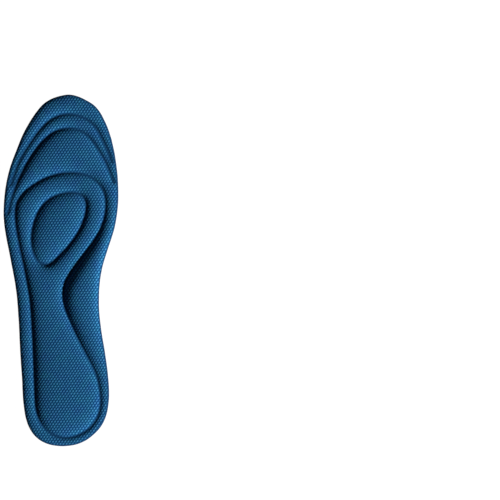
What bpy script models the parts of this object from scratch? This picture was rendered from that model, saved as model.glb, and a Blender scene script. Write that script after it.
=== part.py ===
"""Cushioned insole for the left shoe, top side up, lying on its flat underside.

It is a pressed laminate. From the floor up: a backing cloth, a hot-melt web, a base foam, a second
web, five sponge cushions side by side, and one knitted mesh cover. The press forces the cover down
to the base along each groove and round the edge, so every cushion stands alone between grooves.

+X is the arch side, +Y the toe, +Z up. The origin is on the floor, under the middle of the outline.
All lengths are metres, except the plan curves, which are drawn in millimetres and then fitted to
LENGTH and WIDTH.
"""

import bmesh
import bpy
import numpy as np
from mathutils.geometry import delaunay_2d_cdt

# ---------------------------------------------------------------- driving dimensions
LENGTH = 0.265  # heel to toe
WIDTH = 0.0864  # across the ball of the foot

BACKING_THICK = 0.0006
WEB_THICK = 0.00015
BASE_THICK = 0.0018
COVER_THICK = 0.0007
CONTACT_GAP = 0.0003  # left between two pieces that touch

CUSHION_RISE = 0.0034  # crown of a cushion above the groove floor
ARCH_RISE = 0.0024  # how much higher the arch side stands than the other crowns
GROOVE_HALF = 0.0012  # from a groove's middle to the edge of the cushion beside it
FLANGE = 0.0012  # pressed border round the whole edge
EDGE_INSET = 0.0008  # from the flange to the edge of the cushion beside it
EDGE_SHOULDER = 0.0032  # width of the rounded shoulder above the flange

SHOULDERS = {  # width of the rounded shoulder beside a groove
    "metatarsal_pad": 0.0110,
    "ball_heel_pad": 0.0060,
    "toe_tip_pad": 0.0055,
    "toe_crest_pad": 0.0055,
    "surround_pad": 0.0060,
}

ARCH_MIDDLE_Y = -0.008  # where along the foot the arch is highest
ARCH_HALF_LENGTH = 0.068
TOE_GROOVE_FADE = 0.026  # a toe groove loses its depth over this length at each end
TOE_GROOVE_END_DEPTH = 0.25  # share of the depth that is left at its ends

MESH_STEP = 0.0070  # spacing of the surface's points along a groove
FILL_STEP = 0.0110  # and in the open middle of a cushion

# ---------------------------------------------------------------- plan curves, millimetres
OUTLINE = [
    (5.8, 132.4), (17.9, 128.7), (27.8, 121.1), (35.4, 106.0), (39.5, 90.8),
    (41.8, 75.7), (42.8, 60.6), (42.2, 45.4), (39.5, 30.3), (34.6, 15.1),
    (30.3, 0.0), (28.5, -15.1), (28.5, -30.3), (30.1, -45.4), (32.6, -60.6),
    (34.7, -75.7), (35.9, -92.0), (34.6, -106.0), (31.0, -115.5), (24.5, -123.5),
    (14.0, -130.2), (1.3, -132.3), (-11.0, -130.3), (-20.0, -124.0), (-25.6, -113.6),
    (-28.2, -98.4), (-29.0, -83.3), (-30.5, -60.6), (-31.6, -37.9), (-33.5, -15.1),
    (-37.5, 7.6), (-41.6, 29.0), (-42.9, 43.5), (-41.7, 60.6), (-38.6, 75.7),
    (-33.2, 90.8), (-26.7, 106.0), (-17.0, 121.1), (-8.2, 128.7),
]  # fmt: skip

OUTER_TOE_GROOVE = [
    (-50.0, 53.0), (-44.5, 56.0), (-39.6, 61.0), (-36.4, 68.5), (-31.3, 82.5),
    (-23.7, 95.0), (-16.1, 105.8), (-8.6, 113.2), (-1.0, 117.0), (6.6, 117.9),
    (14.2, 116.2), (21.7, 112.0), (27.0, 106.0), (34.6, 90.8), (38.2, 81.5),
    (42.0, 76.0), (48.0, 72.0),
]  # fmt: skip

INNER_TOE_GROOVE = [
    (-51.0, 30.5), (-45.5, 34.0), (-41.0, 39.5), (-38.8, 47.5), (-36.6, 56.0),
    (-31.3, 69.6), (-23.7, 84.0), (-16.1, 94.8), (-8.6, 102.2), (-2.5, 105.8),
    (5.0, 107.3), (11.9, 106.4), (17.9, 103.0), (23.2, 97.7), (31.6, 84.8),
    (36.9, 72.9), (39.9, 66.0), (44.0, 60.5), (50.0, 56.5),
]  # fmt: skip

BALL_HEEL_GROOVE = [
    (8.1, 73.8), (17.9, 72.3), (26.0, 67.4), (31.9, 59.0), (33.3, 47.5),
    (30.8, 34.8), (24.8, 22.7), (16.8, 11.7), (8.9, 0.8), (3.2, -9.8),
    (1.7, -20.4), (3.9, -31.0), (8.9, -43.1), (14.5, -54.9), (21.0, -67.4),
    (26.3, -78.7), (29.1, -92.4), (28.9, -104.5), (24.0, -115.4), (15.7, -122.3),
    (5.1, -125.7), (-5.5, -123.6), (-13.9, -116.6), (-18.4, -106.0), (-19.5, -90.8),
    (-20.3, -68.1), (-21.4, -45.4), (-23.1, -22.7), (-27.1, 0.0), (-30.4, 15.1),
    (-33.2, 30.3), (-34.2, 42.0), (-32.6, 51.8), (-27.5, 59.2), (-19.9, 65.1),
    (-11.0, 70.1), (-1.0, 73.1),
]  # fmt: skip

METATARSAL_GROOVE = [
    (8.1, 58.9), (16.2, 56.2), (19.0, 49.2), (17.6, 40.1), (13.4, 29.9),
    (7.7, 21.2), (-0.2, 12.5), (-7.5, 5.6), (-13.0, 4.2), (-17.8, 7.9),
    (-21.0, 14.4), (-22.3, 22.7), (-21.4, 31.8), (-18.2, 42.0), (-12.3, 51.1),
    (-3.3, 56.9),
]  # fmt: skip

# ---------------------------------------------------------------- heights that follow
BACKING_BOTTOM = 0.0
LOWER_WEB_BOTTOM = BACKING_BOTTOM + BACKING_THICK + CONTACT_GAP
BASE_BOTTOM = LOWER_WEB_BOTTOM + WEB_THICK + CONTACT_GAP
UPPER_WEB_BOTTOM = BASE_BOTTOM + BASE_THICK + CONTACT_GAP
CUSHION_BOTTOM = UPPER_WEB_BOTTOM + WEB_THICK + CONTACT_GAP
GROOVE_FLOOR = CUSHION_BOTTOM + COVER_THICK  # top of the cover where it is pressed down

NEAREST_POINTS = 0.0011  # two points of the surface are never closer than this
EPSILON_MM = 0.001
MERGE_ROUNDS = 3
MERGE_MM = 0.35  # crossing lines of the plan that meet this closely share one point
MM = 1000.0


# ---------------------------------------------------------------- curves
def dense_curve(points, closed):
    """A Catmull-Rom curve through the points, as many short chords."""
    points = np.array(points)
    if closed:
        padded = np.vstack([points[-1:], points, points[:2]])
    else:
        first = 2 * points[0] - points[1]
        last = 2 * points[-1] - points[-2]
        padded = np.vstack([first, points, last])
    t = np.linspace(0.0, 1.0, 24, endpoint=False)[:, None]
    spans = []
    for a, b, c, d in zip(padded, padded[1:], padded[2:], padded[3:]):
        spans.append(
            0.5 * (2 * b + (c - a) * t + (2 * a - 5 * b + 4 * c - d) * t**2)
            + 0.5 * (3 * b - a - 3 * c + d) * t**3
        )
    curve = np.vstack(spans)
    return curve if closed else np.vstack([curve, points[-1:]])


def plan_fit():
    """The middle of the drawn outline, and the scale that makes it LENGTH by WIDTH."""
    curve = dense_curve(OUTLINE, True)
    low, high = curve.min(axis=0), curve.max(axis=0)
    return (low + high) / 2, np.array([WIDTH, LENGTH]) / (high - low)


class Curve:
    """One line of the plan: the edge of the insole, or the middle of a groove."""

    def __init__(self, points, closed=True):
        middle, scale = plan_fit()
        self.closed = closed
        self.line = (dense_curve(points, closed) - middle) * scale
        ends = np.roll(self.line, -1, axis=0) if closed else self.line[1:]
        self.starts = self.line if closed else self.line[:-1]
        self.spans = ends - self.starts
        lengths = np.linalg.norm(self.spans, axis=1)
        self.along = np.concatenate([[0.0], np.cumsum(lengths)])
        self.length = self.along[-1]

    def near(self, points):
        """Each point's distance from the line, and how far along the line it lies."""
        to_point = points[:, None, :] - self.starts[None]
        share = (to_point * self.spans).sum(axis=2) / (self.spans**2).sum(axis=1)
        share = share.clip(0.0, 1.0)
        apart = np.linalg.norm(to_point - share[:, :, None] * self.spans, axis=2)
        best = apart.argmin(axis=1)
        rows = np.arange(len(points))
        chord = np.linalg.norm(self.spans[best], axis=1)
        return apart[rows, best], self.along[best] + share[rows, best] * chord

    def inside(self, points):
        """True for each point within a closed line, by counting crossings."""
        x, y = points[:, 0, None], points[:, 1, None]
        x0, y0 = self.starts[:, 0], self.starts[:, 1]
        dx, dy = self.spans[:, 0], self.spans[:, 1]
        crosses = (y0 > y) != (y0 + dy > y)
        with np.errstate(divide="ignore", invalid="ignore"):
            left = x < x0 + (y - y0) * dx / dy
        return (crosses & left).sum(axis=1) % 2 == 1

    def row(self, offset):
        """Points along the line every MESH_STEP, moved sideways to the left by an offset."""
        count = max(3, round(self.length / MESH_STEP))
        places = np.linspace(0.0, self.length, count + 1)
        if self.closed:
            places = places[:-1]
        index = np.searchsorted(self.along, places, side="right") - 1
        index = index.clip(0, len(self.spans) - 1)
        chord = self.spans[index]
        size = np.linalg.norm(chord, axis=1)[:, None]
        share = (places - self.along[index])[:, None] / size
        left = np.stack([-chord[:, 1], chord[:, 0]], axis=1) / size
        return self.starts[index] + share * chord + offset * left


def toe_side(groove):
    """The open groove, closed by a wide loop round the toe, for telling what is ahead of it."""
    around = Curve.__new__(Curve)
    far = np.array([[WIDTH, 0.0], [WIDTH, LENGTH], [-WIDTH, LENGTH], [-WIDTH, 0.0]])
    loop = np.vstack([groove.line, far])
    around.starts = loop
    around.spans = np.roll(loop, -1, axis=0) - loop
    return around


EDGE = Curve(OUTLINE)
OUTER_TOE = Curve(OUTER_TOE_GROOVE, closed=False)
INNER_TOE = Curve(INNER_TOE_GROOVE, closed=False)
BALL_HEEL = Curve(BALL_HEEL_GROOVE)
METATARSAL = Curve(METATARSAL_GROOVE)
GROOVES = [OUTER_TOE, INNER_TOE, BALL_HEEL, METATARSAL]


# ---------------------------------------------------------------- relief
def region_of(points):
    """The name of the cushion that each point of the plan belongs to."""
    names = np.full(len(points), "surround_pad", dtype="<U16")
    names[toe_side(INNER_TOE).inside(points)] = "toe_crest_pad"
    names[toe_side(OUTER_TOE).inside(points)] = "toe_tip_pad"
    names[BALL_HEEL.inside(points)] = "ball_heel_pad"
    names[METATARSAL.inside(points)] = "metatarsal_pad"
    return names


def rounded(share):
    """A quarter circle: 0 at the foot of a shoulder, 1 at its top."""
    return np.sqrt(1.0 - (1.0 - share.clip(0.0, 1.0)) ** 2)


def groove_depth(groove, along):
    """Share of the full depth: all of it, or less near an open groove's ends."""
    if groove.closed:
        return np.ones_like(along)
    from_end = np.minimum(along, groove.length - along)
    in_full = (from_end / TOE_GROOVE_FADE).clip(0.0, 1.0)
    in_full = in_full**2 * (3 - 2 * in_full)
    return TOE_GROOVE_END_DEPTH + (1 - TOE_GROOVE_END_DEPTH) * in_full


def arch_share(points, edge_distance):
    """0 away from the arch, rising to 1 at the arch side's edge."""
    groove_distance, _ = BALL_HEEL.near(points)
    across = groove_distance / (groove_distance + edge_distance + 1e-9)
    lengthwise = (points[:, 1] - ARCH_MIDDLE_Y) / ARCH_HALF_LENGTH
    window = np.cos(0.5 * np.pi * lengthwise.clip(-1.0, 1.0)) ** 2
    on_arch = (points[:, 0] > 0.0) & (region_of(points) == "surround_pad")
    return across * window * on_arch


def cover_top(points):
    """Height of the cover's upper side at each point of the plan."""
    regions = region_of(points)
    shoulder = np.array([SHOULDERS[name] for name in regions])
    edge_distance, _ = EDGE.near(points)
    edge_distance[~EDGE.inside(points)] = 0.0
    share = rounded((edge_distance - FLANGE) / EDGE_SHOULDER)
    for groove in GROOVES:
        distance, along = groove.near(points)
        dip = groove_depth(groove, along) * (1 - rounded(distance / shoulder))
        share = np.minimum(share, 1 - dip)
    crown = CUSHION_RISE + ARCH_RISE * arch_share(points, edge_distance)
    return GROOVE_FLOOR + crown * share


# ---------------------------------------------------------------- surface mesh
def clear_of(points, others, distance):
    """The points that are at least a distance from all the others, taken in turn."""
    kept = list(others)
    chosen = []
    for point in points:
        gaps = np.linalg.norm(np.array(kept) - point, axis=1)
        if gaps.min() >= distance:
            kept.append(point)
            chosen.append(point)
    return chosen


def shoulder_row(curve, offset):
    """A row beside a line, drawn in to the ridge where the next line is too close for it."""
    row = curve.row(offset)
    others = [other for other in [EDGE, *GROOVES] if other is not curve]
    to_other = np.min([other.near(row)[0] for other in others], axis=0)
    half_way = 0.5 * (abs(offset) + to_other)
    reach = np.where(to_other < abs(offset), half_way, abs(offset))
    foot = curve.row(0.0)
    return foot + (row - foot) * (reach / abs(offset))[:, None]


def plan_mesh():
    """The plan cut into triangles: its points, its faces, and each face's middle.

    Rows of points run along the edge, along each groove and along each shoulder. The edge, the
    grooves and the cushions' borders are kept as unbroken lines of the mesh.
    """
    points, lines = [], []
    borders = [(EDGE, 0.0), (EDGE, -FLANGE), (EDGE, -FLANGE - EDGE_INSET)]
    for groove in GROOVES:
        borders += [(groove, 0.0), (groove, GROOVE_HALF), (groove, -GROOVE_HALF)]
    for curve, offset in borders:
        row = curve.row(offset)
        first = len(points)
        points += list(row)
        lines += [(first + i, first + i + 1) for i in range(len(row) - 1)]
        if curve.closed:
            lines.append((first + len(row) - 1, first))

    shoulders = [shoulder_row(EDGE, -FLANGE - share * EDGE_SHOULDER) for share in (1.0, 0.62)]
    for share in (1.0, 0.5):
        for groove in GROOVES:
            offset = share * SHOULDERS["ball_heel_pad"]
            for side in (offset, -offset):
                row = shoulder_row(groove, side)
                beyond_edge = EDGE.near(row)[0] > FLANGE + EDGE_SHOULDER + NEAREST_POINTS
                shoulders.append(row[beyond_edge])
    points += clear_of(free_of_borders(np.vstack(shoulders)), points, NEAREST_POINTS)

    across = np.arange(-WIDTH / 2, WIDTH / 2, FILL_STEP)
    lengthwise = np.arange(-LENGTH / 2, LENGTH / 2, FILL_STEP * 0.87)
    fill = [
        (x + 0.5 * FILL_STEP * (row % 2), y)
        for row, y in enumerate(lengthwise)
        for x in across
    ]
    points += clear_of(free_of_borders(np.array(fill)), points, 0.6 * FILL_STEP)

    flat = [(float(x) * MM, float(y) * MM) for x, y in points]
    corners = np.array(flat)
    for _ in range(MERGE_ROUNDS):
        crossed, edges, _, _, edge_lines, _ = triangulated(corners, lines)
        lines = [edge for edge, on_line in zip(edges, edge_lines) if on_line]
        corners, lines = merged(np.array([tuple(p) for p in crossed]), lines)
    corners, _, faces, *_ = triangulated(corners, lines)
    corners = np.array([tuple(p) for p in corners]) / MM
    faces = np.array(faces)
    middles = corners[faces].mean(axis=1)
    within = EDGE_POLYGON.inside(middles)
    return corners, faces[within], middles[within]


def triangulated(points, lines):
    """Triangles through all the points, which keep the lines and add a point at each crossing."""
    return delaunay_2d_cdt(points.tolist(), lines, [], 0, EPSILON_MM)


def merged(points, lines):
    """The points with each close pair made one, and the lines between them."""
    first_near = []
    for i, point in enumerate(points):
        gaps = np.linalg.norm(points[: i + 1] - point, axis=1)
        near = int(np.argmax(gaps < MERGE_MM))
        first_near.append(first_near[near] if near < i else i)
    kept = sorted(set(first_near))
    place = {old: new for new, old in enumerate(kept)}
    joined = {tuple(sorted(place[first_near[i]] for i in line)) for line in lines}
    return points[kept], sorted(line for line in joined if line[0] != line[1])


def joined_faces(faces):
    """The largest set of faces that share edges, without slivers where a groove runs out."""
    beside = {}
    for i, face in enumerate(faces):
        for a, b in zip(face, np.roll(face, -1)):
            beside.setdefault((min(a, b), max(a, b)), []).append(i)
    group = np.arange(len(faces))
    changed = True
    while changed:
        changed = False
        for pair in beside.values():
            lowest = group[pair].min()
            if (group[pair] != lowest).any():
                group[pair] = lowest
                changed = True
    labels, counts = np.unique(group, return_counts=True)
    return faces[group == labels[counts.argmax()]]


def free_of_borders(points):
    """The points that are inside the flange and clear of every groove's border."""
    points = points[EDGE.inside(points)]
    clear = EDGE.near(points)[0] > FLANGE + EDGE_INSET + 0.5 * NEAREST_POINTS
    for groove in GROOVES:
        clear &= groove.near(points)[0] > GROOVE_HALF + 0.5 * NEAREST_POINTS
    return points[clear]


def polygon(points):
    """A closed line with straight sides between the points, for asking what is inside."""
    shape = Curve.__new__(Curve)
    shape.starts = points
    shape.spans = np.roll(points, -1, axis=0) - points
    return shape


EDGE_POLYGON = polygon(EDGE.row(0.0))


def in_band(groove, points):
    """True for each point between the two rows of mesh points that border a groove."""
    left, right = groove.row(GROOVE_HALF), groove.row(-GROOVE_HALF)
    if groove.closed:
        return polygon(left).inside(points) != polygon(right).inside(points)
    return polygon(np.vstack([left, right[::-1]])).inside(points)


# ---------------------------------------------------------------- building pieces
def material(name, colour, roughness):
    """A Principled material with one colour."""
    made = bpy.data.materials.new(name)
    made.use_nodes = True
    shader = made.node_tree.nodes["Principled BSDF"]
    shader.inputs["Base Color"].default_value = (*colour, 1.0)
    shader.inputs["Roughness"].default_value = roughness
    shader.inputs["Metallic"].default_value = 0.0
    return made


def sculpted_piece(name, corners, faces, top, bottom, finish, collection):
    """A solid with the given faces as its plan, between two heights for each corner."""
    bm = bmesh.new()
    corner_of = bm.verts.layers.int.new("corner")
    upper = {i: bm.verts.new((*corners[i], top[i])) for i in np.unique(faces)}
    for i, vert in upper.items():
        vert[corner_of] = i
    for face in faces:
        bm.faces.new([upper[i] for i in face])
    grown = bmesh.ops.extrude_face_region(bm, geom=bm.faces[:], use_keep_orig=True)
    for vert in grown["geom"]:
        if isinstance(vert, bmesh.types.BMVert):
            vert.co.z = bottom[vert[corner_of]]
    bmesh.ops.recalc_face_normals(bm, faces=bm.faces[:])
    if bm.calc_volume(signed=True) < 0.0:
        bmesh.ops.reverse_faces(bm, faces=bm.faces[:])
    mesh = bpy.data.meshes.new(name)
    bm.to_mesh(mesh)
    bm.free()
    mesh.materials.append(finish)
    mesh.shade_smooth()
    piece = bpy.data.objects.new(name, mesh)
    collection.objects.link(piece)
    return piece


def flat_layer(name, bottom, thick, finish, collection):
    """A sheet of even thickness, cut to the outline of the insole."""
    curve = bpy.data.curves.new(name, "CURVE")
    curve.dimensions = "2D"
    curve.fill_mode = "BOTH"
    curve.extrude = thick / 2
    spline = curve.splines.new("POLY")
    outline = EDGE.row(0.0)
    spline.points.add(len(outline) - 1)
    for point, (x, y) in zip(spline.points, outline):
        point.co = (x, y, 0.0, 1.0)
    spline.use_cyclic_u = True
    curve.materials.append(finish)
    piece = bpy.data.objects.new(name, curve)
    piece.location.z = bottom + thick / 2
    collection.objects.link(piece)
    return piece


def main():
    for old in list(bpy.data.objects):
        bpy.data.objects.remove(old, do_unlink=True)
    collection = bpy.data.collections.new("cushioned_insole")
    bpy.context.scene.collection.children.link(collection)

    knit = material("knit_mesh", (0.030, 0.098, 0.300), 0.85)
    sponge = material("cushion_sponge", (0.62, 0.66, 0.70), 0.95)
    foam = material("base_foam", (0.045, 0.060, 0.090), 0.90)
    web = material("hot_melt_web", (0.80, 0.80, 0.76), 0.60)
    cloth = material("backing_cloth", (0.020, 0.028, 0.050), 0.90)

    flat_layer("backing_cloth", BACKING_BOTTOM, BACKING_THICK, cloth, collection)
    flat_layer("lower_adhesive_web", LOWER_WEB_BOTTOM, WEB_THICK, web, collection)
    flat_layer("base_foam", BASE_BOTTOM, BASE_THICK, foam, collection)
    flat_layer("upper_adhesive_web", UPPER_WEB_BOTTOM, WEB_THICK, web, collection)

    corners, faces, middles = plan_mesh()
    cover = cover_top(corners)
    under_cover = cover - COVER_THICK
    sculpted_piece("top_cover", corners, faces, cover, under_cover, knit, collection)

    in_cushion = polygon(EDGE.row(-FLANGE - EDGE_INSET)).inside(middles)
    for groove in GROOVES:
        in_cushion &= ~in_band(groove, middles)
    regions = region_of(middles)
    cushion_bottom = np.full(len(corners), CUSHION_BOTTOM)
    for name in SHOULDERS:
        own = joined_faces(faces[in_cushion & (regions == name)])
        top = under_cover - CONTACT_GAP
        sculpted_piece(name, corners, own, top, cushion_bottom, sponge, collection)


main()
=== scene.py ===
"""Cushioned insole: the looks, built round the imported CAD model.

The cover is a knitted mesh whose vertices follow the knit's own lattice. Its relief is that of a
cover stretched over soft cushions and pressed down along lines: in every groove between two
cushions, and round the edge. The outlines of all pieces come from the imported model.
"""

import math

import bmesh
import bpy
import numpy as np
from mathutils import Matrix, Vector
from mathutils.geometry import delaunay_2d_cdt
from mathutils.kdtree import KDTree


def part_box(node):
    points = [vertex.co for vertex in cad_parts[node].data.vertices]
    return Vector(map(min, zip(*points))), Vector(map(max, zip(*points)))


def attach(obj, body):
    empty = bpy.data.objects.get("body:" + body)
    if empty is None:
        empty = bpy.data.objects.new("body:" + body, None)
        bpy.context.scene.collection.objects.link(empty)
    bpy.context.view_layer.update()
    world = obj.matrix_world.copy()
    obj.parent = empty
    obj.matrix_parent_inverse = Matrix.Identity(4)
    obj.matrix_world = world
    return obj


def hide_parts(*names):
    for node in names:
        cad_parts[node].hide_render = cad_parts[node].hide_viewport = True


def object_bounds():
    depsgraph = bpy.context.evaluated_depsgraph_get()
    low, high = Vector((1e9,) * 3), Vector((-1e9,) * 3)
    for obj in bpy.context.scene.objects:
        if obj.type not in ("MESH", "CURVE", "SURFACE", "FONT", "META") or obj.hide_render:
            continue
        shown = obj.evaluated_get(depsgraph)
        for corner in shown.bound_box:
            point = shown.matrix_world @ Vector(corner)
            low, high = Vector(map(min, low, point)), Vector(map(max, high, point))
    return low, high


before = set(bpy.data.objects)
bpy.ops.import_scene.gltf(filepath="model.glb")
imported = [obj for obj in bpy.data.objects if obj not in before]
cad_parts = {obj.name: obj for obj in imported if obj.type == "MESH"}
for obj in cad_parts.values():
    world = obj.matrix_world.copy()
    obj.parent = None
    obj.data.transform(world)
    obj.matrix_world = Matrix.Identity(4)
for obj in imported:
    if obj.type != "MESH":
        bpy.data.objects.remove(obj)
CAD_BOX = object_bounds()

# ---------------------------------------------------------------- sizes, metres
COVER_THICK = 0.0007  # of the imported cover, from its underside to the floor of a groove
LAID_GAP = 0.00003  # left between two pieces that lie on each other
FOAM_BULGE = 0.00012  # how far the foam's cut edge swells at half its height
BACKING_BULGE = 0.00005  # and the backing cloth's
BULGE_RINGS = (0.2, 0.5, 0.8)  # where a cut edge has points, as shares of its height
BULGE_UNEVEN = 0.35  # how much the swelling varies round the edge
BULGE_WAVE = 0.0031  # the wavelength of that round the edge, divided by 2 pi
BULGE_SHIFT = 9.0  # how far the pattern shifts from the top face to the bottom one, radians
PITCH = np.array([0.002309, 0.000051])  # from one knitted cell to the next along a row
ROW = np.array([-0.000965, 0.001874])  # from one row of cells to the next
CELL_SPLIT = 4  # mesh points along each side of a knitted cell
WEAVE_PITCH = 0.0011  # two threads of the backing cloth
WAVES = (0.7, 0.7, 1.2)  # the knit's three waves; the third makes its cells long
WAVES_LOW = -1.4  # about the lowest sum of the three
PUFF = 0.00016  # how far a knitted cell stands above the net round it
PUFF_LEVEL = 0.4  # the share of a cell at which the cover is at its plain height
PUFF_PRESSED = 0.25  # share of the puff that is left where the press has flattened the knit
SOFT_EDGE = (0.5, 2.2)  # flattened within the first, free past the second, in flanges
SOFT_RISE = (0.00005, 0.0006)  # and the same by height above the groove floor, metres
RIM_DROP = 0.0001  # how far the cover's rim turns down
UNDERSIDE_SPLIT = 2  # mesh points along each side of a cell, under the cover and on cushions
LAYER_SPLIT = 0.5  # and in a flat layer
RIM_CLEAR = 0.6  # mesh points stay this far inside the cut edge, in edge steps
PAD_CLEAR = 0.4  # and inside a cushion's border, in pad steps
LAYER_CLEAR = 0.002  # and inside a flat layer's edge
EDGE_STEP = 0.0006  # mesh spacing along the cut edge
PAD_STEP = 0.0012  # and along a cushion's border
GRID = 0.0005  # spacing of the height grid

FLANGE = 0.0005  # pressed border round the edge
SEAM = 0.0005  # half width of the line that presses a groove down
GROOVE_CLEAR = 0.002  # the grooves' width is measured this far inside the edge
TOE_FADE = 0.0050  # the toe grooves are shallower this close to the edge
TOE_FADE_LEFT = 0.02  # share of the press that is left at their ends
CROWN = 0.0050  # rise of an unpressed cushion above the groove floor
SOFTNESS = {  # how far from a groove a cushion still gives way
    "toe_tip_pad": 0.0026,
    "toe_crest_pad": 0.0026,
    "surround_pad": 0.0026,
    "ball_heel_pad": 0.0023,
    "metatarsal_pad": 0.0034,
}
CUSHIONS = list(SOFTNESS)
TOE_CUSHIONS = ("toe_tip_pad", "toe_crest_pad")
DOME = 0.62  # share of the crown that a cushion has only far from its borders
DOME_SOFTNESS = 0.0130  # how far from a border that share is not yet reached
EDGE_SHOULDER = 0.0100  # width of the slope down to the edge
ARCH_EDGE_SHOULDER = 0.0035  # and along the arch
EDGE_SOFTNESS = 0.0012  # how softly the cushions start above the flange
ARCH_RISE = 0.0022  # how much higher the arch side wants to stand
ARCH_SLOPE = 0.0100  # width of the slope from the groove up to the arch
ARCH_MIDDLE_Y = -0.008  # where along the foot the arch is highest
ARCH_HALF_LENGTH = 0.068
PRESS = 60.0  # how hard a seam is pressed, against the cushion's own stiffness
RELAX_ROUNDS = 220
OVER_RELAX = 1.86  # how far a round moves a point, times the way to its rest height

# ---------------------------------------------------------------- colours, linear
# the knit's two colours are partly the yarns' own and partly painted light and shade: the puffed
# cells are painted lighter, the recessed net darker
NET_AND_SHADE_COLOUR = (0.0010, 0.027, 0.083)
CELL_AND_LIGHT_COLOUR = (0.040, 0.156, 0.292)
# painted shade: the knit is painted darker in the grooves and along the edge, with some darker
# tone of the flattened knit itself
PRESSED_SHADE_COLOUR = (0.0015, 0.020, 0.062)
PRESSED_SHADE_SHARE = 0.75  # how far the knit turns to that colour where it is pressed: mostly painted shade in the grooves and along the edge, with some darker tone of the flattened knit
HUE_SPREAD = 0.035  # how much the cloth's hue varies in patches
HUE_START = 0.4825  # its lowest value, where 0.5 is no change
SATURATION = 1.03
# painted shade: the sponge's pores are painted darker inside their hollows
PORE_SHADE_COLOUR = (0.30, 0.33, 0.37)
SPONGE_COLOUR = (0.66, 0.70, 0.74)
# painted shade in the foam's cell hollows, mixed with random mottling
FOAM_SHADE_AND_MOTTLE = (0.006, 0.012, 0.030)
FOAM_LIGHT = (0.028, 0.050, 0.095)
THREAD_COLOUR = (0.150, 0.165, 0.175)
WEB_COLOUR = (0.035, 0.045, 0.060)
# painted shade and light on the weave: the first where it lies low, the second where threads stand
# high
WEAVE_SHADE_COLOUR = (0.004, 0.010, 0.026)
WEAVE_LIT_COLOUR = (0.030, 0.055, 0.110)

# ---------------------------------------------------------------- stage
WORLD_LIGHT = 0.06
SUN_ENERGY = 10.0
SUN_ANGLE = 11.0  # degrees, as are the next two
SUN_ELEVATION = 22.0
SUN_AZIMUTH = -28.0
FLOOR_SIZE = 6.0
FLOOR_GREY = 0.05
CAMERA_PLACE = (0.1426, 0.0154, 3.15)
SENSOR_WIDTH = 36.0
VIEW_WIDTH = 0.3775  # what the camera sees across, at the floor


# ---------------------------------------------------------------- outlines from the frame
def flat_outlines(node):
    """The closed outlines of a CAD node's flat underside, each as an array of points."""
    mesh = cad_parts[node].data
    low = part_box(node)[0].z
    mesh.calc_loop_triangles()
    place = [tuple(round(c, 6) for c in v.co[:2]) for v in mesh.vertices]
    height = [v.co.z for v in mesh.vertices]
    directed = set()
    for triangle in mesh.loop_triangles:
        corners = [place[i] for i in triangle.vertices]
        if max(height[i] for i in triangle.vertices) < low + 1e-5:
            directed.update(zip(corners, corners[1:] + corners[:1]))
    following = {a: b for a, b in directed if (b, a) not in directed}
    loops = []
    while following:
        start, here = following.popitem()
        loop = [start]
        while here != start:
            loop.append(here)
            here = following.pop(here)
        loops.append(np.array(loop))
    return loops


def smooth_loop(corners, step):
    """A smooth closed curve through the corners, with a point about every step."""
    tangent = np.roll(corners, -1, axis=0) - np.roll(corners, 1, axis=0)
    tangent /= np.linalg.norm(tangent, axis=1)[:, None]
    points = []
    for i, a in enumerate(corners):
        j = (i + 1) % len(corners)
        b = corners[j]
        reach = np.linalg.norm(b - a) / 3
        near_a, near_b = a + tangent[i] * reach, b - tangent[j] * reach
        t = np.linspace(0, 1, max(2, round(3 * reach / step)) + 1)[:-1, None]
        points.append(
            a * (1 - t) ** 3
            + near_a * 3 * t * (1 - t) ** 2
            + near_b * 3 * t**2 * (1 - t)
            + b * t**3
        )
    return np.vstack(points)


def is_inside(points, loops):
    """True for each point that lies within the loops, by counting crossings."""
    odd = np.zeros(len(points), bool)
    x, y = points[:, 0], points[:, 1]
    for loop in loops:
        for (x0, y0), (x1, y1) in zip(loop, np.roll(loop, -1, axis=0)):
            if y0 != y1:
                beside = (y0 > y) != (y1 > y)
                odd ^= beside & (x < x0 + (y - y0) * (x1 - x0) / (y1 - y0))
    return odd


def signed_distance(points, loops):
    """Each point's distance from the nearest loop, negative inside."""
    line = np.vstack(loops)
    tree = KDTree(len(line))
    for i, (x, y) in enumerate(line):
        tree.insert((x, y, 0.0), i)
    tree.balance()
    apart = np.array([tree.find((x, y, 0.0))[2] for x, y in points])
    return np.where(is_inside(points, loops), -apart, apart)


EDGE_CORNERS = max(flat_outlines("backing_cloth"), key=len)
EDGE = smooth_loop(EDGE_CORNERS, EDGE_STEP)
BORDERS = {name: flat_outlines(name) for name in CUSHIONS}
LOW, HIGH = CAD_BOX

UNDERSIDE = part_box("upper_adhesive_web")[1].z + LAID_GAP  # of the cover, at a groove
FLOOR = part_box("top_cover")[0].z + COVER_THICK  # and its upper side there


# ---------------------------------------------------------------- height grid
def smoothstep(value, start, end):
    """0 below start, 1 above end, with a smooth rise between."""
    t = np.clip((value - start) / (end - start), 0.0, 1.0)
    return t * t * (3 - 2 * t)


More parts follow.
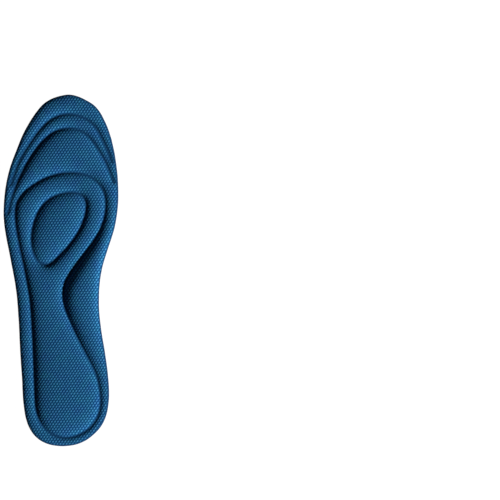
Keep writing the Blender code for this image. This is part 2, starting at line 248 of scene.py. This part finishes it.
class HeightGrid:
    """Heights over the plan on a regular grid, read smoothly at any point."""

    def __init__(self):
        margin = 6 * GRID
        self.low = np.array([LOW.x - margin, LOW.y - margin])
        xs = np.arange(self.low[0], HIGH.x + margin, GRID)
        ys = np.arange(self.low[1], HIGH.y + margin, GRID)
        self.shape = (len(ys), len(xs))
        across, along = np.meshgrid(xs, ys)
        self.points = np.stack([across.ravel(), along.ravel()], axis=1)
        self.values = {}

    def keep(self, name, values):
        """Stores the values at the grid's points under a name."""
        self.values[name] = values.reshape(self.shape)

    def read(self, name, points):
        """The values at some points, with a cubic through the four nearest along each side."""
        place = (points - self.low) / GRID
        first = np.floor(place).astype(int)
        t = place - first
        weights = [
            0.5 * np.stack([-t + 2 * t**2 - t**3, 2 - 5 * t**2 + 3 * t**3], axis=0),
            0.5 * np.stack([t + 4 * t**2 - 3 * t**3, -(t**2) + t**3], axis=0),
        ]
        weights = np.vstack(weights)
        rows, columns = self.shape
        total = np.zeros(len(points))
        for i in range(4):
            column = (first[:, 0] + i - 1).clip(0, columns - 1)
            for j in range(4):
                row = (first[:, 1] + j - 1).clip(0, rows - 1)
                total += weights[i, :, 0] * weights[j, :, 1] * self.values[name][row, column]
        return total


def rounded(share):
    """A quarter circle: 0 at the foot of a slope, 1 at its top."""
    return np.sqrt(1.0 - (1.0 - share.clip(0.0, 1.0)) ** 2)


def relaxed(shape, wanted, softness, pressed):
    """The heights of a stretched cover over a soft body that wants to reach the wanted heights."""
    pull = ((GRID / softness) ** 2).reshape(shape)
    wanted, pressed = wanted.reshape(shape), pressed.reshape(shape)
    height = np.where(pressed > 1, 0.0, wanted)
    rows, columns = np.indices(shape)
    inner = (rows > 0) & (rows < shape[0] - 1) & (columns > 0) & (columns < shape[1] - 1)
    for _ in range(RELAX_ROUNDS):
        for parity in (0, 1):
            now = inner & ((rows + columns) % 2 == parity)
            beside = np.roll(height, 1, 0) + np.roll(height, -1, 0)
            beside += np.roll(height, 1, 1) + np.roll(height, -1, 1)
            rest = (beside + pull * wanted) / (4 + pull + pressed)
            height = np.where(now, height + OVER_RELAX * (rest - height), height)
    return height


def pressed_relief():
    """The cover's height above the groove floor.

    Each cushion wants to stand at its crown. The cover is stretched over it and pressed down at
    the seams, so the height h solves laplacian(h) = (h - crown) / softness^2 + press * h.
    """
    grid = HeightGrid()
    points = grid.points
    edge = -signed_distance(points, [smooth_loop(EDGE_CORNERS, GRID / 2)])
    apart = np.stack(
        [
            signed_distance(points, [smooth_loop(loop, GRID / 2) for loop in BORDERS[name]])
            for name in CUSHIONS
        ]
    )
    order = np.argsort(apart, axis=0)
    nearest, second = order[0], order[1]
    to_second = np.take_along_axis(apart, order[1:2], axis=0)[0]
    to_nearest = np.take_along_axis(apart, order[:1], axis=0)[0]
    inside = edge > GROOVE_CLEAR
    groove_half = 0.5 * (to_second + to_nearest)[inside & (to_nearest > 0)].min()
    groove = to_second - groove_half
    toe = np.array([name in TOE_CUSHIONS for name in CUSHIONS])
    fading = toe[nearest] | toe[second]
    kept = TOE_FADE_LEFT + (1 - TOE_FADE_LEFT) * smoothstep(edge, FLANGE, TOE_FADE)
    fade = np.where(fading, kept, 1.0)

    softness = np.array([SOFTNESS[name] for name in CUSHIONS])[nearest]
    by_edge = smoothstep(edge, EDGE_SOFTNESS, 4 * EDGE_SOFTNESS)
    softness = EDGE_SOFTNESS + (softness - EDGE_SOFTNESS) * by_edge
    seam = fade * np.exp(-((groove / SEAM) ** 2))
    border = 1 - smoothstep(edge, FLANGE - GRID, FLANGE + GRID)
    pressed = PRESS * (GRID / SEAM) ** 2 * np.maximum(seam, border)

    groove_slope = smoothstep(np.abs(apart[CUSHIONS.index("ball_heel_pad")]), 0.0, ARCH_SLOPE)
    lengthwise = ((points[:, 1] - ARCH_MIDDLE_Y) / ARCH_HALF_LENGTH).clip(-1, 1)
    along_arch = np.cos(0.5 * np.pi * lengthwise) ** 2
    in_surround = nearest == CUSHIONS.index("surround_pad")
    arch = along_arch * ((points[:, 0] > 0) & in_surround & (edge > 0))
    shoulder = EDGE_SHOULDER + (ARCH_EDGE_SHOULDER - EDGE_SHOULDER) * np.sqrt(arch)
    edge_share = rounded((edge - FLANGE) / shoulder)

    ones = np.ones(len(points))
    dome = relaxed(grid.shape, ones, DOME_SOFTNESS * ones, pressed)
    crown = CROWN * (1 - DOME * (1 - dome.ravel())) + ARCH_RISE * groove_slope * arch
    height = relaxed(grid.shape, crown * edge_share, softness, pressed).clip(0.0)
    grid.keep("height", height)
    grid.keep("edge", edge)
    for name, values in zip(CUSHIONS, apart):
        grid.keep(name, values)
    return grid


# ---------------------------------------------------------------- meshes
def lattice_points(split, clear, relief):
    """The points of the knit's lattice, split evenly, that lie at least clear inside the edge."""
    span = int(1.2 * split * (HIGH.y - LOW.y) / np.linalg.norm(ROW))
    across, up = np.meshgrid(np.arange(-span, span), np.arange(-span, span))
    points = (across.reshape(-1, 1) * PITCH + up.reshape(-1, 1) * ROW) / split
    near = (np.abs(points) < [HIGH.x, HIGH.y]).all(axis=1)
    points = points[near]
    return points[relief.read("edge", points) > clear]


def triangles_within(points, loops):
    """The points cut into triangles that keep the loops as edges, and lie inside them.

    The loops' points are the first ones, in order.
    """
    edges, first = [], 0
    for loop in loops:
        count = len(loop)
        edges += [(first + i, first + (i + 1) % count) for i in range(count)]
        first += count
    _, _, faces, *_ = delaunay_2d_cdt(points.tolist(), edges, [], 0, 0.0)
    faces = np.array(faces)
    on_loops = (faces < first).all(axis=1)
    middles = points[faces[on_loops]].mean(axis=1)
    kept = np.ones(len(faces), bool)
    kept[on_loops] = is_inside(middles, loops)
    return faces[kept]


def piece_from(name, corners, faces, material):
    """A smoothly shaded object with the corners, faces and material."""
    mesh = bpy.data.meshes.new(name)
    mesh.from_pydata(corners.tolist(), [], faces)
    mesh.materials.append(material)
    mesh.shade_smooth()
    mesh.update()
    piece = bpy.data.objects.new(name, mesh)
    bpy.context.scene.collection.objects.link(piece)
    return piece


def closed_shell(upper, upper_faces, lower, lower_faces, loops):
    """One closed mesh from an upper and a lower skin whose first points are the same loops."""
    shift = len(upper)
    faces = upper_faces.tolist() + (lower_faces[:, ::-1] + shift).tolist()
    first = 0
    for loop in loops:
        count = len(loop)
        for i in range(count):
            a, b = first + i, first + (i + 1) % count
            faces.append((a, b, b + shift, a + shift))
        first += count
    return np.vstack([upper, lower]), faces


def facing_out(piece):
    """Turns every face of a closed piece to point out of it."""
    bm = bmesh.new()
    bm.from_mesh(piece.data)
    bmesh.ops.recalc_face_normals(bm, faces=bm.faces[:])
    if bm.calc_volume(signed=True) < 0:
        bmesh.ops.reverse_faces(bm, faces=bm.faces[:])
    bm.to_mesh(piece.data)
    bm.free()


def knit_share(points):
    """How much each point is in the middle of a knitted cell: 1 there, 0 in the net's corners."""
    across, up = np.linalg.solve(np.array([PITCH, ROW]).T, points.T)
    phases = 2 * np.pi * np.array([across, up, across - up])
    waves = (np.array(WAVES)[:, None] * np.cos(phases)).sum(axis=0)
    return (waves - WAVES_LOW) / (sum(WAVES) - WAVES_LOW)


def knitted_cover(relief, material):
    """The cover: a fine upper side with every knitted cell, a rim, and a plainer underside."""
    clear = RIM_CLEAR * EDGE_STEP
    upper_plan = np.vstack([EDGE, lattice_points(CELL_SPLIT, clear, relief)])
    rise = relief.read("height", upper_plan)
    rise[: len(EDGE)] = 0.0
    soft = smoothstep(
        relief.read("edge", upper_plan), SOFT_EDGE[0] * FLANGE, SOFT_EDGE[1] * FLANGE
    )
    soft = soft * smoothstep(rise, *SOFT_RISE)
    unpressed = PUFF_PRESSED + (1 - PUFF_PRESSED) * soft
    puff = PUFF * (knit_share(upper_plan) - PUFF_LEVEL) * unpressed
    upper = np.column_stack([upper_plan, FLOOR + rise + puff])
    upper[: len(EDGE), 2] = FLOOR - RIM_DROP
    lower_plan = np.vstack([EDGE, lattice_points(UNDERSIDE_SPLIT, clear, relief)])
    drop = relief.read("height", lower_plan)
    drop[: len(EDGE)] = 0.0
    lower = np.column_stack([lower_plan, UNDERSIDE + drop])
    loops = [EDGE]
    upper_faces = triangles_within(upper_plan, loops)
    lower_faces = triangles_within(lower_plan, loops)
    corners, faces = closed_shell(upper, upper_faces, lower, lower_faces, loops)
    piece = piece_from("knitted_cover", corners, faces, material)
    # the pressed attribute marks where the knit gets painted shade: the grooves, the edge and the
    # hidden underside
    pressed = piece.data.attributes.new("pressed", "FLOAT", "POINT")
    pressed.data.foreach_set("value", np.concatenate([1 - soft, np.ones(len(lower))]))
    facing_out(piece)
    return placed(piece, "top_cover")


def placed(piece, node_name):
    """The piece, standing for its CAD node."""
    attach(piece, "root")
    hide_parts(node_name)
    return piece


def cushion(name, relief, material):
    """A sponge cushion: flat below, and as high as the cover over it lets it be."""
    loops = [smooth_loop(loop, PAD_STEP) for loop in BORDERS[name]]
    inner = lattice_points(UNDERSIDE_SPLIT, EDGE_STEP, relief)
    inner = inner[relief.read(name, inner) < -PAD_CLEAR * PAD_STEP]
    plan = np.vstack([*loops, inner])
    faces = triangles_within(plan, loops)
    top = UNDERSIDE - LAID_GAP + relief.read("height", plan)
    upper = np.column_stack([plan, top])
    lower = np.column_stack([plan, np.full(len(plan), UNDERSIDE)])
    corners, all_faces = closed_shell(upper, faces, lower, faces, loops)
    piece = piece_from(name.replace("_pad", "_cushion"), corners, all_faces, material)
    facing_out(piece)
    return placed(piece, name)


def outward(loop):
    """The direction out of a loop at each of its points."""
    along = np.roll(loop, -1, axis=0) - np.roll(loop, 1, axis=0)
    side = np.stack([along[:, 1], -along[:, 0]], axis=1)
    side /= np.linalg.norm(side, axis=1)[:, None]
    area = np.cross(loop, np.roll(loop, -1, axis=0)).sum()
    return side if area > 0 else -side


def cut_layer(name, relief, bottom, top, material, bulge=0.0):
    """A flat layer with the insole's outline, whose cut edge swells between its two faces."""
    inner = lattice_points(LAYER_SPLIT, LAYER_CLEAR, relief)
    plan = np.vstack([EDGE, inner])
    faces = triangles_within(plan, [EDGE])
    upper = np.column_stack([plan, np.full(len(plan), top)])
    lower = np.column_stack([plan, np.full(len(plan), bottom)])
    rings = []
    around = np.arange(len(EDGE)) * EDGE_STEP
    for share in BULGE_RINGS:
        uneven = 1 + BULGE_UNEVEN * np.sin(around / BULGE_WAVE + BULGE_SHIFT * share)
        swell = bulge * math.sin(math.pi * share) * uneven
        ring = EDGE + outward(EDGE) * swell[:, None]
        rings.append(np.column_stack([ring, np.full(len(ring), top + (bottom - top) * share)]))
    corners = np.vstack([upper, *rings, lower])
    starts = [0, *(len(upper) + i * len(EDGE) for i in range(len(rings)))]
    starts.append(len(upper) + len(rings) * len(EDGE))
    quads = []
    for above, below in zip(starts, starts[1:]):
        for i in range(len(EDGE)):
            j = (i + 1) % len(EDGE)
            quads.append((above + i, above + j, below + j, below + i))
    everything = faces.tolist() + quads + (faces[:, ::-1] + starts[-1]).tolist()
    piece = piece_from(name, corners, everything, material)
    facing_out(piece)
    return piece


# ---------------------------------------------------------------- materials
def node(tree, kind, **settings):
    """A new node with its settings."""
    made = tree.nodes.new(kind)
    for key, value in settings.items():
        setattr(made, key, value)
    return made


def maths(tree, operation, *values):
    """The result of a maths node, whose values are numbers or other nodes' outputs."""
    made = tree.nodes.new("ShaderNodeMath")
    made.operation = operation
    for socket, value in zip(made.inputs, values):
        if isinstance(value, bpy.types.NodeSocket):
            tree.links.new(value, socket)
        else:
            socket.default_value = value
    return made.outputs[0]


def wave(tree, place, direction):
    """The cosine of 2 pi times the place measured along a direction."""
    along = node(tree, "ShaderNodeVectorMath", operation="DOT_PRODUCT")
    tree.links.new(place, along.inputs[0])
    along.inputs[1].default_value = (*direction, 0.0)
    return maths(tree, "COSINE", maths(tree, "MULTIPLY", along.outputs["Value"], 2 * math.pi))


def knit_material():
    """Light cells on a navy net, partly the yarns' own colours and partly painted light on the
    cells and painted shade in the net; darker where the press has flattened the knit, mostly
    painted shade in the grooves and along the edge.
    """
    made, tree, shader, place = principled("knit_mesh", 0.85, 0.04)
    dual = np.linalg.inv(np.array([PITCH, ROW]).T)
    total = 0.0
    for size, direction in zip(WAVES, (dual[0], dual[1], dual[0] - dual[1])):
        total = maths(tree, "MULTIPLY_ADD", wave(tree, place, direction), size, total)
    reach = sum(WAVES) - WAVES_LOW
    share = maths(tree, "MULTIPLY_ADD", total, 1 / reach, -WAVES_LOW / reach)
    uneven = noise(tree, place, 900)
    share = maths(tree, "MULTIPLY_ADD", maths(tree, "SUBTRACT", uneven, 0.5), 0.45, share)
    # painted light and shade: the cells' middles are painted lighter and the net darker, on top of
    # the yarns' own two colours
    knit = ramp_between(tree, share, 0.12, NET_AND_SHADE_COLOUR, 0.92, CELL_AND_LIGHT_COLOUR)
    pressed = node(tree, "ShaderNodeAttribute", attribute_name="pressed").outputs["Fac"]
    patches = noise(tree, place, 130, 1.0)
    hue = node(tree, "ShaderNodeHueSaturation")
    tree.links.new(maths(tree, "MULTIPLY_ADD", patches, HUE_SPREAD, HUE_START), hue.inputs["Hue"])
    hue.inputs["Saturation"].default_value = SATURATION
    tree.links.new(knit, hue.inputs["Color"])
    knit = hue.outputs["Color"]
    # painted shade: the knit is darkened in the grooves and along the edge, where the pressed
    # attribute is high
    mix = node(tree, "ShaderNodeMix", data_type="RGBA")
    tree.links.new(maths(tree, "MULTIPLY", pressed, PRESSED_SHADE_SHARE), mix.inputs["Factor"])
    tree.links.new(knit, mix.inputs["A"])
    mix.inputs["B"].default_value = (*PRESSED_SHADE_COLOUR, 1)
    tree.links.new(mix.outputs["Result"], shader.inputs["Base Color"])
    yarn = noise(tree, place, 5200, 2.0)
    raised = maths(tree, "ADD", maths(tree, "MULTIPLY", yarn, 0.6), share)
    bumped(tree, shader, raised, 0.00008, 0.7)
    return made


def principled(name, roughness, specular):
    """A new material with its node tree, shader and object coordinates."""
    made = bpy.data.materials.new(name)
    made.use_nodes = True
    tree = made.node_tree
    shader = tree.nodes["Principled BSDF"]
    shader.inputs["Roughness"].default_value = roughness
    shader.inputs["Specular IOR Level"].default_value = specular
    return made, tree, shader, node(tree, "ShaderNodeTexCoord").outputs["Object"]


def ramp_between(tree, value, low, low_colour, high, high_colour):
    """A colour that goes from one to another as a value rises."""
    ramp = node(tree, "ShaderNodeValToRGB").color_ramp
    ramp.elements[0].position, ramp.elements[0].color = low, (*low_colour, 1)
    ramp.elements[1].position, ramp.elements[1].color = high, (*high_colour, 1)
    made = tree.nodes[-1]
    tree.links.new(value, made.inputs["Fac"])
    return made.outputs["Color"]


def bumped(tree, shader, height, depth, strength):
    """Gives the shader a bump of a depth in metres."""
    bump = node(tree, "ShaderNodeBump")
    bump.inputs["Strength"].default_value = strength
    bump.inputs["Distance"].default_value = depth
    tree.links.new(height, bump.inputs["Height"])
    tree.links.new(bump.outputs["Normal"], shader.inputs["Normal"])


def noise(tree, place, scale, detail=3.0):
    """Smooth noise, from 0 to 1, whose patches are about 1 / scale metres wide."""
    made = node(tree, "ShaderNodeTexNoise")
    made.inputs["Scale"].default_value = scale
    made.inputs["Detail"].default_value = detail
    tree.links.new(place, made.inputs["Vector"])
    return made.outputs["Fac"]


def cells(tree, place, scale, feature="F1"):
    """The distance from the nearest cell's middle, or its border, with scale cells a metre."""
    made = node(tree, "ShaderNodeTexVoronoi", feature=feature)
    made.inputs["Scale"].default_value = scale
    tree.links.new(place, made.inputs["Vector"])
    return made.outputs["Distance"]


def sponge_material():
    """Open-cell sponge, with pores of under a millimetre, painted darker inside as painted shade.
    """
    made, tree, shader, place = principled("cushion_sponge", 0.95, 0.2)
    pores = cells(tree, place, 1900)
    # painted shade: darker towards each pore's middle, where the bump makes a hollow
    colour = ramp_between(tree, pores, 0.05, PORE_SHADE_COLOUR, 0.5, SPONGE_COLOUR)
    tree.links.new(colour, shader.inputs["Base Color"])
    bumped(tree, shader, pores, 0.0003, 0.8)
    return made


def foam_material():
    """Dense navy foam, whose cut edge shows fine cells, with painted shade in their hollows and
    random mottling.
    """
    made, tree, shader, place = principled("base_foam", 0.9, 0.25)
    fine = cells(tree, place, 3600)
    mottle_and_shade = maths(tree, "MULTIPLY", fine, noise(tree, place, 420))
    # painted shade: darker in each cell's hollow, also mottled at random by the noise
    colour = ramp_between(tree, mottle_and_shade, 0.05, FOAM_SHADE_AND_MOTTLE, 0.4, FOAM_LIGHT)
    tree.links.new(colour, shader.inputs["Base Color"])
    bumped(tree, shader, fine, 0.00012, 0.7)
    return made


def web_material():
    """A film of hot-melt threads."""
    made, tree, shader, place = principled("hot_melt_web", 0.55, 0.4)
    threads = cells(tree, place, 1300, "DISTANCE_TO_EDGE")
    colour = ramp_between(tree, threads, 0.02, THREAD_COLOUR, 0.16, WEB_COLOUR)
    tree.links.new(colour, shader.inputs["Base Color"])
    bumped(tree, shader, threads, -0.00008, 0.6)
    return made


def backing_material():
    """A plain weave of dark threads, one over and one under, painted darker where it lies low and
    lighter where it stands high, as painted shade and light.
    """
    made, tree, shader, place = principled("backing_cloth", 0.9, 0.15)
    warp = wave(tree, place, (1 / WEAVE_PITCH, 0))
    weft = wave(tree, place, (0, 1 / WEAVE_PITCH))
    over = maths(tree, "MULTIPLY", warp, weft)
    fuzz = noise(tree, place, 3000)
    raised = maths(tree, "MULTIPLY_ADD", fuzz, 0.6, maths(tree, "MULTIPLY_ADD", over, 0.35, 0.2))
    # painted shade and light: the colour follows the weave's height, darker where it dips
    colour = ramp_between(tree, raised, 0.15, WEAVE_SHADE_COLOUR, 0.8, WEAVE_LIT_COLOUR)
    tree.links.new(colour, shader.inputs["Base Color"])
    bumped(tree, shader, raised, 0.00012, 0.8)
    return made


# ---------------------------------------------------------------- stage
def light_and_camera():
    """A low sun, a little light from all round, a glowing white floor, and the camera."""
    scene = bpy.context.scene
    scene.view_settings.view_transform = "Standard"
    world = bpy.data.worlds.new("studio")
    world.use_nodes = True
    world.node_tree.nodes["Background"].inputs["Color"].default_value = (1, 1, 1, 1)
    world.node_tree.nodes["Background"].inputs["Strength"].default_value = WORLD_LIGHT
    scene.world = world
    sun = bpy.data.lights.new("key_light", "SUN")
    sun.energy = SUN_ENERGY
    sun.angle = math.radians(SUN_ANGLE)
    lamp = bpy.data.objects.new("key_light", sun)
    elevation, azimuth = math.radians(SUN_ELEVATION), math.radians(SUN_AZIMUTH)
    toward = (
        math.cos(elevation) * math.cos(azimuth),
        math.cos(elevation) * math.sin(azimuth),
        math.sin(elevation),
    )
    lamp.rotation_euler = Vector(toward).to_track_quat("Z", "Y").to_euler()
    scene.collection.objects.link(lamp)

    bpy.ops.mesh.primitive_plane_add(size=FLOOR_SIZE, location=(0, 0, 0))
    floor = bpy.context.object
    floor.name = "studio_floor"
    paper = bpy.data.materials.new("studio_floor")
    paper.use_nodes = True
    shader = paper.node_tree.nodes["Principled BSDF"]
    shader.inputs["Base Color"].default_value = (FLOOR_GREY, FLOOR_GREY, FLOOR_GREY, 1)
    shader.inputs["Roughness"].default_value = 1.0
    shader.inputs["Emission Color"].default_value = (1, 1, 1, 1)
    shader.inputs["Emission Strength"].default_value = 1.0
    floor.data.materials.append(paper)

    lens = bpy.data.cameras.new("camera")
    lens.sensor_width = SENSOR_WIDTH
    lens.lens = SENSOR_WIDTH * CAMERA_PLACE[2] / VIEW_WIDTH
    camera = bpy.data.objects.new("camera", lens)
    camera.location = CAMERA_PLACE
    scene.collection.objects.link(camera)
    scene.camera = camera


RELIEF = pressed_relief()
cover = knitted_cover(RELIEF, knit_material())
sponge = sponge_material()
cushions = [cushion(name, RELIEF, sponge) for name in CUSHIONS]

LOWER_WEB, UPPER_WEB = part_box("lower_adhesive_web"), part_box("upper_adhesive_web")
web = web_material()
BACKING_TOP = LOWER_WEB[0].z - LAID_GAP
FOAM_BOTTOM = LOWER_WEB[1].z + LAID_GAP
FOAM_TOP = UPPER_WEB[0].z - LAID_GAP
weave = backing_material()
backing = cut_layer("woven_backing", RELIEF, LOW.z, BACKING_TOP, weave, BACKING_BULGE)
lower_web = cut_layer("lower_hot_melt_web", RELIEF, LOWER_WEB[0].z, LOWER_WEB[1].z, web)
dense = foam_material()
foam = cut_layer("foam_base", RELIEF, FOAM_BOTTOM, FOAM_TOP, dense, FOAM_BULGE)
upper_web = cut_layer("upper_hot_melt_web", RELIEF, UPPER_WEB[0].z, UPPER_WEB[1].z, web)
placed(backing, "backing_cloth")
placed(lower_web, "lower_adhesive_web")
placed(foam, "base_foam")
placed(upper_web, "upper_adhesive_web")

light_and_camera()
